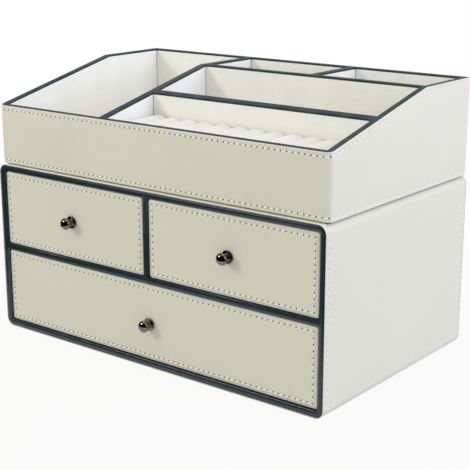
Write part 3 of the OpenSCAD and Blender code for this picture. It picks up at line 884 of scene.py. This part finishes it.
def case_linings():
    low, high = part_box("case_lining")
    shelf_low, shelf_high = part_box("case_shelf")
    post_low, post_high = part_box("case_post")
    bays = ((low.x, high.x, low.z, shelf_low.z), (low.x, post_low.x, shelf_high.z, high.z),
            (post_high.x, high.x, shelf_high.z, high.z))
    shell = Shell()
    for x0, x1, z0, z1 in bays:
        lined_room(shell, Vector((x0, low.y, z0)), Vector((x1, high.y, z1)), OPEN_FRONT)
    lining_piece("bay_suede", "case", "case_lining", shell)


def drawer_lining(drawer):
    shell = Shell()
    lined_room(shell, *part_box(drawer + "_lining"), OPEN_TOP)
    lining_piece(drawer + "_suede", drawer + "_drawer", drawer + "_lining", shell)


# ---- Dark trim on top of the tray's walls ----

def tray_trim():
    """The dark strips as one network of quads that follows the rim, bevelled."""
    x_out, y_front, y_back = (round(v, 5) for v in (TRAY_HIGH.x - LEATHER, TRAY_LOW.y + LEATHER,
                                                    TRAY_HIGH.y - LEATHER))
    front_corner, back_corner = TRAY_CORNER - LEATHER, TRAY_BACK_CORNER - LEATHER
    holes = [(low.x + LINING, high.x - LINING, low.y + LINING, high.y - LINING)
             for low, high in tray_rooms()]
    xs = sorted({round(v, 5) for h in holes for v in h[:2]} | {-x_out, x_out})
    ys = sorted({round(v, 5) for h in holes for v in h[2:]} | {y_front, y_back, round(SLOPE_END_Y, 5)})

    def solid(x, y):
        return not any(h[0] < x < h[1] and h[2] < y < h[3] for h in holes)

    bm = bmesh.new()
    made = {}

    def vertex(x, y):
        key = (round(x, 6), round(y, 6))
        if key not in made:
            made[key] = bm.verts.new((x, y, rim_z(y)))
        return made[key]

    def cell_outline(x0, x1, y0, y1):
        """The cell's corners, with an arc where it is the tray's own corner."""
        outline = []
        for x, y, from_angle in ((x0, y0, 180), (x1, y0, 270), (x1, y1, 0), (x0, y1, 90)):
            if abs(x) == x_out and y in (y_front, y_back):
                corner = front_corner if y == y_front else back_corner
                cx, cy = x - math.copysign(corner, x), y - math.copysign(corner, y)
                outline += [(cx + corner * math.cos(math.radians(from_angle + 90 * i / 8)),
                             cy + corner * math.sin(math.radians(from_angle + 90 * i / 8)))
                            for i in range(9)]
            else:
                outline.append((x, y))
        return outline

    for x0, x1 in zip(xs, xs[1:]):
        for y0, y1 in zip(ys, ys[1:]):
            if solid((x0 + x1) / 2, (y0 + y1) / 2):
                bm.faces.new([vertex(x, y) for x, y in cell_outline(x0, x1, y0, y1)])
    top = list(bm.faces)
    bmesh.ops.recalc_face_normals(bm, faces=top)
    grown = bmesh.ops.extrude_face_region(bm, geom=top, use_keep_orig=True)
    for v in [g for g in grown["geom"] if isinstance(g, bmesh.types.BMVert)]:
        v.co.z -= TRIM
    bmesh.ops.recalc_face_normals(bm, faces=bm.faces)
    bevel_hard(bm, TRIM_SHARP_ANGLE, TRIM_BEVEL, 3)
    mesh = rubbed_mesh(bm, "tray_dark_trim", navy_leather, TRIM_RUB_ANGLE)
    new_piece("tray_dark_trim", mesh, "tray", ["tray_trim"])


# ---- Knobs and their screws ----

def lathe(shell, centre, profile, steps=48):
    """Turns (radius, distance in front of centre) about the Y axis."""
    rings = []
    for radius, out in profile:
        if radius < TINY / 10:
            rings.append([shell.point((centre.x, centre.y - out, centre.z))])
            continue
        rings.append(shell.ring([(centre.x + radius * math.cos(a), centre.y - out,
                                  centre.z + radius * math.sin(a))
                                 for a in [2 * math.pi * i / steps for i in range(steps)]]))
    for low, high in zip(rings, rings[1:]):
        if len(high) == 1:
            shell.faces += [(low[i], low[(i + 1) % steps], high[0]) for i in range(steps)]
        elif len(low) == 1:
            shell.faces += [(low[0], high[(i + 1) % steps], high[i]) for i in range(steps)]
        else:
            shell.band(low, high)


def knob(drawer):
    """Turned knob: a flat foot, a short neck in a small cove and a flattened ball."""
    low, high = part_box(drawer + "_knob")
    centre = Vector(((low.x + high.x) / 2, high.y, (low.z + high.z) / 2))
    foot_r, out = (high.x - low.x) / 2, high.y - low.y
    head_r, head_half, neck_r = KNOB_HEAD / 2, KNOB_HEAD_THICK / 2, KNOB_NECK / 2
    rim, cove = KNOB_RIM, KNOB_COVE
    profile = [(0.0, 0.0), (foot_r - rim, 0.0)]
    for middle, start in ((rim, -75), (KNOB_FOOT - rim, 0)):
        profile += [(foot_r - rim + rim * math.cos(a), middle + rim * math.sin(a))
                    for a in [math.radians(start + d) for d in range(0, 91 if start == 0 else 61, 15)]]
    profile += [(neck_r + cove * (1 - math.sin(a)), KNOB_FOOT + cove * (1 - math.cos(a)))
                for a in [math.radians(d) for d in range(0, 91, 15)]]
    under = math.asin(neck_r / head_r)
    steps = 24
    for i in range(steps + 1):
        a = math.pi - under - (math.pi - under) * i / steps
        profile.append((head_r * math.sin(a), out - head_half + head_half * math.cos(a)))
    shell = Shell()
    lathe(shell, centre, profile)
    mesh = shell.mesh(drawer + "_knob_metal", black_nickel, 50)
    new_piece(drawer + "_knob_metal", mesh, drawer + "_drawer", [drawer + "_knob"])


def screw(drawer):
    """Pan-head screw with a cross recess."""
    low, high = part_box(drawer + "_knob_screw")
    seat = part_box(drawer + "_front_board")[1].y + LINING
    centre = Vector(((low.x + high.x) / 2, seat, (low.z + high.z) / 2))
    head_r, head_t, long = (high.x - low.x) / 2, high.y - seat, seat - low.y
    profile = [(0.0, long), (SHANK_R - SHANK_TIP, long), (SHANK_R, long - SHANK_TIP_LONG),
               (SHANK_R, 0.0), (head_r, 0.0)]
    dome = 6
    profile += [(head_r * math.cos(a), -head_t * 0.35 - head_t * 0.65 * math.sin(a))
                for a in [math.pi / 2 * i / dome for i in range(dome)]]
    profile.append((0.0, -head_t))
    shell = Shell()
    lathe(shell, centre, profile, 32)
    shell.faces = [tuple(reversed(f)) for f in shell.faces]
    mesh = shell.mesh(drawer + "_screw_metal", screw_steel, 35)
    piece = new_piece(drawer + "_screw_metal", mesh, drawer + "_drawer",
                      [drawer + "_knob_screw"])
    carve_cross(piece, Vector((centre.x, high.y - RECESS_SINK, centre.z)), head_r)


def carve_cross(piece, middle, head_r):
    """Cuts the cross recess into a screw's head."""
    name = piece.data.name
    cutter = bmesh.new()
    for w, h in ((0.62, 0.16), (0.16, 0.62)):
        size = Matrix.Diagonal((2 * w * head_r, RECESS_DEEP, 2 * h * head_r, 1.0))
        bmesh.ops.create_cube(cutter, size=1.0, matrix=Matrix.Translation(middle) @ size)
    cut_mesh = bpy.data.meshes.new("recess")
    cutter.to_mesh(cut_mesh)
    cutter.free()
    tool = bpy.data.objects.new("recess", cut_mesh)
    bpy.context.scene.collection.objects.link(tool)
    cut = piece.modifiers.new("recess", "BOOLEAN")
    cut.operation = "DIFFERENCE"
    cut.object = tool
    cut.solver = "EXACT"
    cut.use_self = True
    bpy.context.view_layer.update()
    carved = bpy.data.meshes.new_from_object(piece.evaluated_get(bpy.context.evaluated_depsgraph_get()))
    piece.modifiers.clear()
    piece.data = carved
    carved.name = name
    bpy.data.objects.remove(tool)


# ---- Ring rolls: foam in velvet, puffed by a cloth simulation ----

def roll_spans():
    """Left and right side of each roll: a narrow first one, then one per pitch."""
    low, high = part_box("ring_rolls")
    count = max(2, math.floor((high.x - low.x - FIRST_ROLL) / ROLL_PITCH) + 1)
    cuts = [low.x] + [low.x + FIRST_ROLL + i * ROLL_PITCH for i in range(count - 1)] + [high.x]
    return list(zip(cuts, cuts[1:]))


def roll_section(share):
    """Half width and height of a roll's section, both as shares, round the top."""
    a = math.pi * share
    return math.cos(a), abs(math.sin(a)) ** 1.4


def build_rolls():
    """Closed rolls, a little smaller than the foam that fills them, and which points are held."""
    low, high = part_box("ring_rolls")
    shell = Shell()
    held = []
    for x0, x1 in roll_spans():
        middle, half = (x0 + x1) / 2, (x1 - x0) / 2 - ROLL_SLACK
        crest = high.z - ROLL_TOP_ROOM - (0.0 if x0 == low.x else ROLL_DROP)
        rings = []
        for i in range(ROLL_SEGMENTS + 1):
            share = i / ROLL_SEGMENTS
            y = low.y + ROLL_SLACK + (high.y - low.y - 2 * ROLL_SLACK) * share
            end = min(share, 1 - share) * (high.y - low.y)
            droop = ROLL_END_DROP * max(0.0, 1 - end / ROLL_END_LONG) ** 2
            ring = []
            for j in range(ROLL_AROUND + 1):
                sx, sz = roll_section(j / ROLL_AROUND)
                z = crest - ROLL_CROWN * (1 - sz) - droop
                ring.append(shell.point((middle + half * sx, y, z)))
                held.append(1.0 if j in (0, ROLL_AROUND) else 0.0)
            for x in (middle - half, middle + half):
                for z in (low.z + ROLL_FLANK, low.z) if x < middle else (low.z, low.z + ROLL_FLANK):
                    ring.append(shell.point((x, y, z)))
                    held.append(1.0)
            rings.append(ring)
        for a, b in zip(rings, rings[1:]):
            shell.band(b, a)
        shell.faces.append(tuple(rings[0]))
        shell.faces.append(tuple(reversed(rings[-1])))
    return shell, held


def puff(piece, held, cap):
    """Fills a closed piece with Blender's Cloth, and keeps each point within cap."""
    rest = [v.co.copy() for v in piece.data.vertices]
    pins = piece.vertex_groups.new(name="held")
    for i, weight in enumerate(held):
        if weight:
            pins.add([i], weight, "REPLACE")
    cloth = piece.modifiers.new("puff", "CLOTH")
    cloth.settings.vertex_group_mass = "held"
    cloth.settings.use_pressure = True
    cloth.settings.uniform_pressure_force = 4.0
    cloth.settings.effector_weights.gravity = 0.0
    cloth.settings.quality = 6
    cloth.point_cache.frame_end = PUFF_FRAMES
    scene = bpy.context.scene
    for step in range(1, PUFF_FRAMES + 1):
        scene.frame_set(step)
    evaluated = piece.evaluated_get(bpy.context.evaluated_depsgraph_get())
    puffed = [v.co.copy() for v in evaluated.data.vertices]
    piece.modifiers.clear()
    scene.frame_set(1)
    for vertex, start, end in zip(piece.data.vertices, rest, puffed):
        move = end - start
        if move.length > cap:
            move = move.normalized() * cap
        vertex.co = start + move


def ring_rolls():
    low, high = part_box("ring_rolls")
    shell, held = build_rolls()
    mesh = shell.mesh("ring_rolls_velvet", velvet, 70)
    piece = new_piece("ring_rolls_velvet", mesh, "tray", ["ring_rolls"])
    puff(piece, held, PUFF_CAP)
    for vertex in mesh.vertices:
        vertex.co.z = min(vertex.co.z, high.z)
        vertex.co.y = min(max(vertex.co.y, low.y), high.y)
    mesh.update()
    smooth = piece.modifiers.new("smooth", "SUBSURF")
    smooth.levels = smooth.render_levels = 1


# ---- The whole organizer ----

def refinish(node, material):
    """Gives a node that keeps its own shape its material."""
    frame["nodes"][node].data.materials.clear()
    frame["nodes"][node].data.materials.append(material)


BOARDS = ["case_left_board", "case_right_board", "case_top_board", "case_bottom_board",
          "case_back_board", "case_shelf", "case_post", "tray_front_board", "tray_back_board",
          "tray_left_board", "tray_right_board", "tray_floor", "long_divider", "ring_partition",
          "rear_partition", "rear_divider"] + [drawer + "_front_board" for drawer in DRAWERS]

refinish("case_felt", felt)
refinish("tray_felt", felt)
refinish("ring_riser", card)
for node in BOARDS:
    refinish(node, bare_board)

case_sleeve()
dressed("case_back_cover", "case", cream_leather, bevel=0.3 * MM,
        rub_angle=NEVER_RUBBED)
dressed("case_frame", "case", frame_leather)
case_linings()
for drawer in DRAWERS:
    front_cover(drawer)
    knob(drawer)
    screw(drawer)
    drawer_lining(drawer)
    for part in ("_sides", "_back", "_bottom"):
        dressed(drawer + part, drawer + "_drawer", paper_board, bevel=0.5 * MM)
tray_leather()
tray_trim()
tray_linings()
ring_rolls()


# ---- Floor, backdrop and light ----

def backdrop_rays(t):
    """1 for the rays that see the backdrop as plain white: lens, metal and glass."""
    path = t.add("LightPath")
    mirrored = t.math("MAXIMUM", path.outputs["Is Glossy Ray"], path.outputs["Is Transmission Ray"])
    return t.math("MAXIMUM", path.outputs["Is Camera Ray"], mirrored)


def stage_mesh(name, points, faces, material):
    mesh = bpy.data.meshes.new(name)
    mesh.from_pydata(points, [], faces)
    mesh.materials.append(material)
    prop = bpy.data.objects.new(name, mesh)
    bpy.context.scene.collection.objects.link(prop)
    return prop


def floor():
    """Pale floor that keeps the object's shadow and fades into the backdrop."""
    material, t, shader, place = new_material("pale_floor")
    shader.inputs["Base Color"].default_value = (0.62, 0.62, 0.62, 1)
    shader.inputs["Roughness"].default_value = 0.8
    away = t.add("VectorMath", {0: place}, operation="LENGTH").outputs["Value"]
    share = t.math("MULTIPLY_ADD", t.step(away, *FLOOR_FADE), 1 - FLOOR_WHITE, FLOOR_WHITE)
    white = t.add("Emission", {"Color": (1, 1, 1, 1), "Strength": 1.0})
    mixed = t.add("MixShader", {"Fac": t.math("MULTIPLY", backdrop_rays(t), share)})
    t.set(mixed.inputs[1], shader.outputs[0])
    t.set(mixed.inputs[2], white.outputs[0])
    t.set(material.node_tree.nodes["Material Output"].inputs["Surface"], mixed.outputs[0])
    corners = [(x * FLOOR_HALF, y * FLOOR_HALF, 0) for x, y in ((-1, -1), (1, -1), (1, 1), (-1, 1))]
    stage_mesh("floor", corners, [(0, 1, 2, 3)], material)


def black_card():
    """A black card that lies on the floor round the front and stands up behind the camera.
    Only shiny surfaces see it. It gives the knobs their dark band, as in the photograph."""
    material, _, shader, _ = new_material("black_card")
    shader.inputs["Base Color"].default_value = (0.004, 0.004, 0.004, 1)
    shader.inputs["Specular IOR Level"].default_value = 0.0
    section = ((CARD_NEAR, CARD_LIFT), (CARD_FAR, CARD_LIFT), (CARD_FAR, CARD_HIGH))
    points = []
    faces = []
    for i in range(CARD_STEPS + 1):
        a = math.radians(CARD_FROM + CARD_ROUND * i / CARD_STEPS)
        points += [(radius * math.cos(a), radius * math.sin(a), z) for radius, z in section]
    for i in range(CARD_STEPS):
        for j in (3 * i, 3 * i + 1):
            faces.append((j, j + 3, j + 4, j + 1))
    prop = stage_mesh("black_card", points, faces, material)
    prop.visible_camera = False
    prop.visible_diffuse = False
    prop.visible_transmission = False
    prop.visible_shadow = False


def world(colour):
    sky = bpy.data.worlds.new("studio")
    sky.use_nodes = True
    bpy.context.scene.world = sky
    t = Tree(sky.node_tree)
    back = sky.node_tree.nodes["Background"]
    t.set(back.inputs["Color"], t.mix(backdrop_rays(t), rgba(colour), (1, 1, 1, 1)))


def soft_box(name, place, size, colour):
    """Area lamp aimed at the organizer. The colour carries its strength."""
    lamp = bpy.data.lights.new(name, "AREA")
    lamp.shape = "RECTANGLE"
    lamp.size, lamp.size_y = size
    lamp.energy = max(colour)
    lamp.color = [c / max(colour) for c in colour]
    box = bpy.data.objects.new(name, lamp)
    box.location = place
    box.rotation_euler = (AIM - Vector(place)).to_track_quat("-Z", "Y").to_euler()
    bpy.context.scene.collection.objects.link(box)


floor()
black_card()
world((0.69, 0.67, 0.56))
soft_box("top_box", (0.1, 0.0, 1.3), (1.3, 1.1), (2.2, 2.3, 2.0))
soft_box("right_box", (1.3, 0.15, 0.7), (1.0, 1.0), (7.8, 8.2, 11.4))
soft_box("key_box", (-0.78, -1.0, 0.77), (0.36, 0.36), (5.2, 5.2, 5.4))


# ---- Camera ----

def camera():
    data = bpy.data.cameras.new("camera")
    data.lens = LENS
    data.sensor_width = SENSOR
    data.clip_start = 0.01
    data.clip_end = 20.0
    view = bpy.data.objects.new("camera", data)
    back = -CAMERA_LOOK.normalized()
    up = back.cross(CAMERA_RIGHT).normalized()
    right = up.cross(back)
    turn = Matrix((right, up, back)).transposed().to_4x4()
    view.matrix_world = Matrix.Translation(CAMERA_PLACE) @ turn
    bpy.context.scene.collection.objects.link(view)
    bpy.context.scene.camera = view


camera()
bpy.context.scene.view_settings.view_transform = "Standard"
